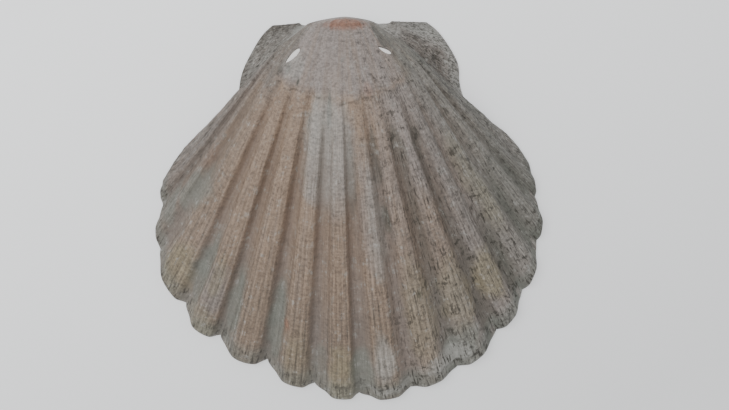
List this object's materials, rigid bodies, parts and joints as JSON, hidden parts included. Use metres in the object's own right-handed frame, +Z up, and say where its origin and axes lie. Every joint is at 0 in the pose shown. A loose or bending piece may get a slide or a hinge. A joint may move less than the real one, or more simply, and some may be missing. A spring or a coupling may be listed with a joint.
{
  "type": "scallop shell",
  "caption": "Ribbed valve of a great scallop with its ears, lying hollow side down on its margin and hinge line.",
  "frame": {"origin": "centre of the shell's box on the surface it rests on", "axes": "+X along the hinge line, +Y from the lower margin towards the hinge, +Z up through the ribbed outside"},
  "size_m": [0.1142, 0.113, 0.0285],
  "materials": {
    "shell": "matte"
  },
  "bodies": {
    "root": {"scallop_valve": "shell"}
  },
  "joints": []
}
